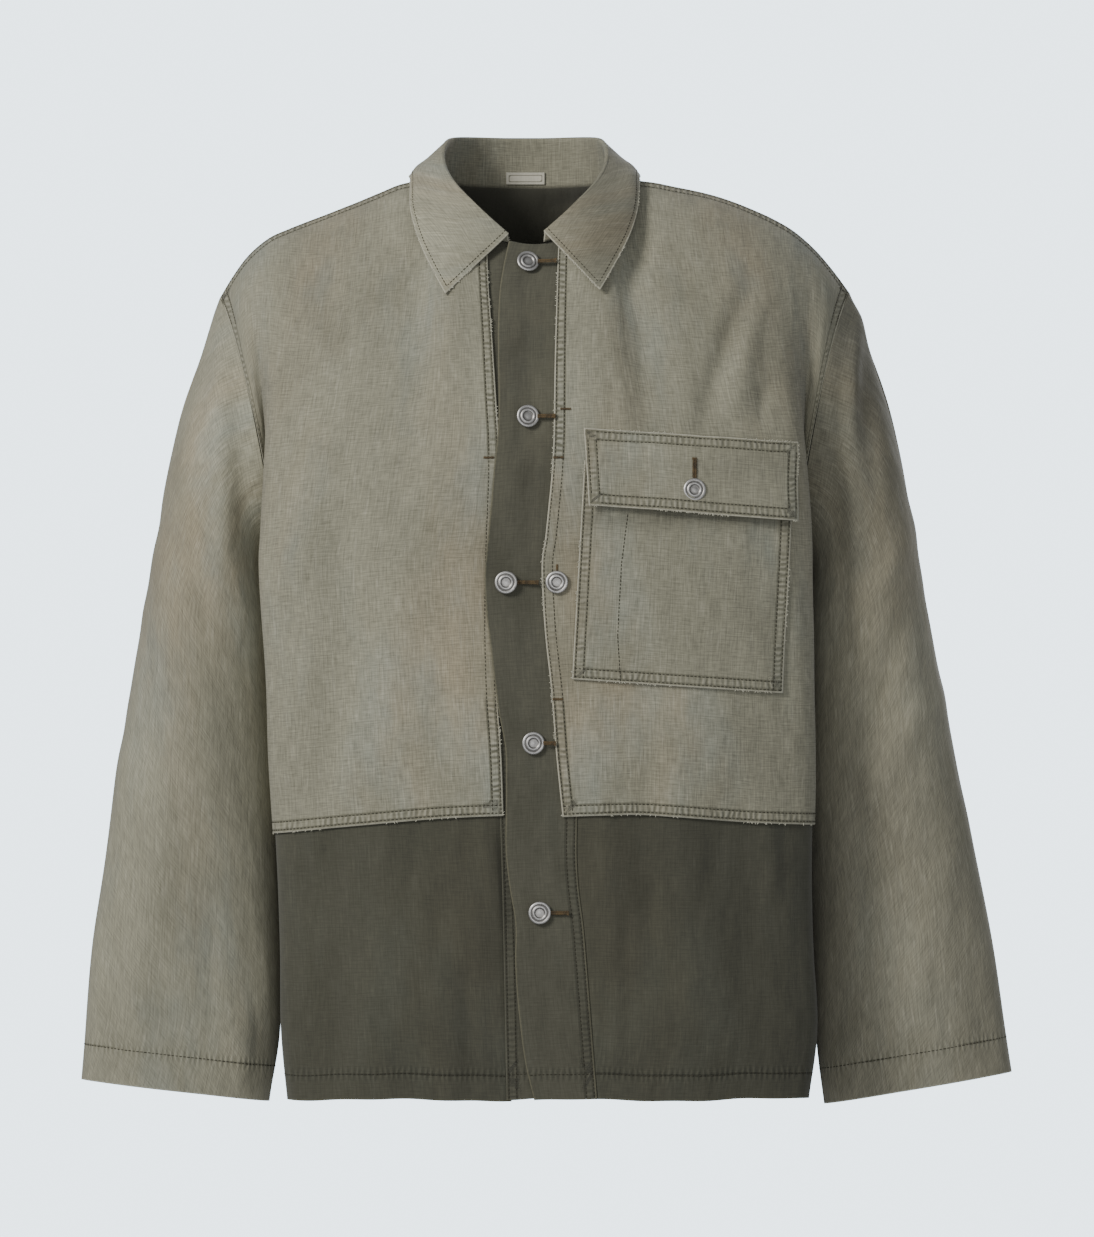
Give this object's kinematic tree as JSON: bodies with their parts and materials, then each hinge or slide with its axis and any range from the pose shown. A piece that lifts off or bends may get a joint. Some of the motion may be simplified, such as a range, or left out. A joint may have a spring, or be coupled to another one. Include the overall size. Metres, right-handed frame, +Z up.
{
  "type": "worn work jacket",
  "caption": "Long-sleeved work jacket of light panels lapped over dark ones, filled out with no wearer, with a button front, turn-down collar and flapped chest pocket.",
  "frame": {"origin": "where the shoulders carry it: between the high points of the shoulder seams, at the base of the neck", "axes": "+Z up, the front faces -Y, the wearer's left is at +X"},
  "size_m": [0.732, 0.2562, 0.7609],
  "materials": {
    "washed_khaki": "washed ripstop cotton, faded and worn pale at the edges",
    "dark_olive": "dark olive cotton, softly worn",
    "cream_tab": "woven tape, blank",
    "pewter": "antiqued satin metal"
  },
  "bodies": {
    "root": {"front_right": "washed_khaki", "front_left": "washed_khaki", "back": "washed_khaki", "sleeve_right": "washed_khaki", "sleeve_left": "washed_khaki", "collar": "washed_khaki", "pocket": "washed_khaki", "pocket_flap": "washed_khaki", "lower_front_right": "dark_olive", "lower_front_left": "dark_olive", "lower_back": "dark_olive", "placket_left": "dark_olive", "placket_right": "dark_olive", "label": "cream_tab", "button_1": "pewter", "button_2": "pewter", "button_3": "pewter", "button_4": "pewter", "button_5": "pewter", "button_6": "pewter", "button_7": "pewter"}
  },
  "joints": []
}
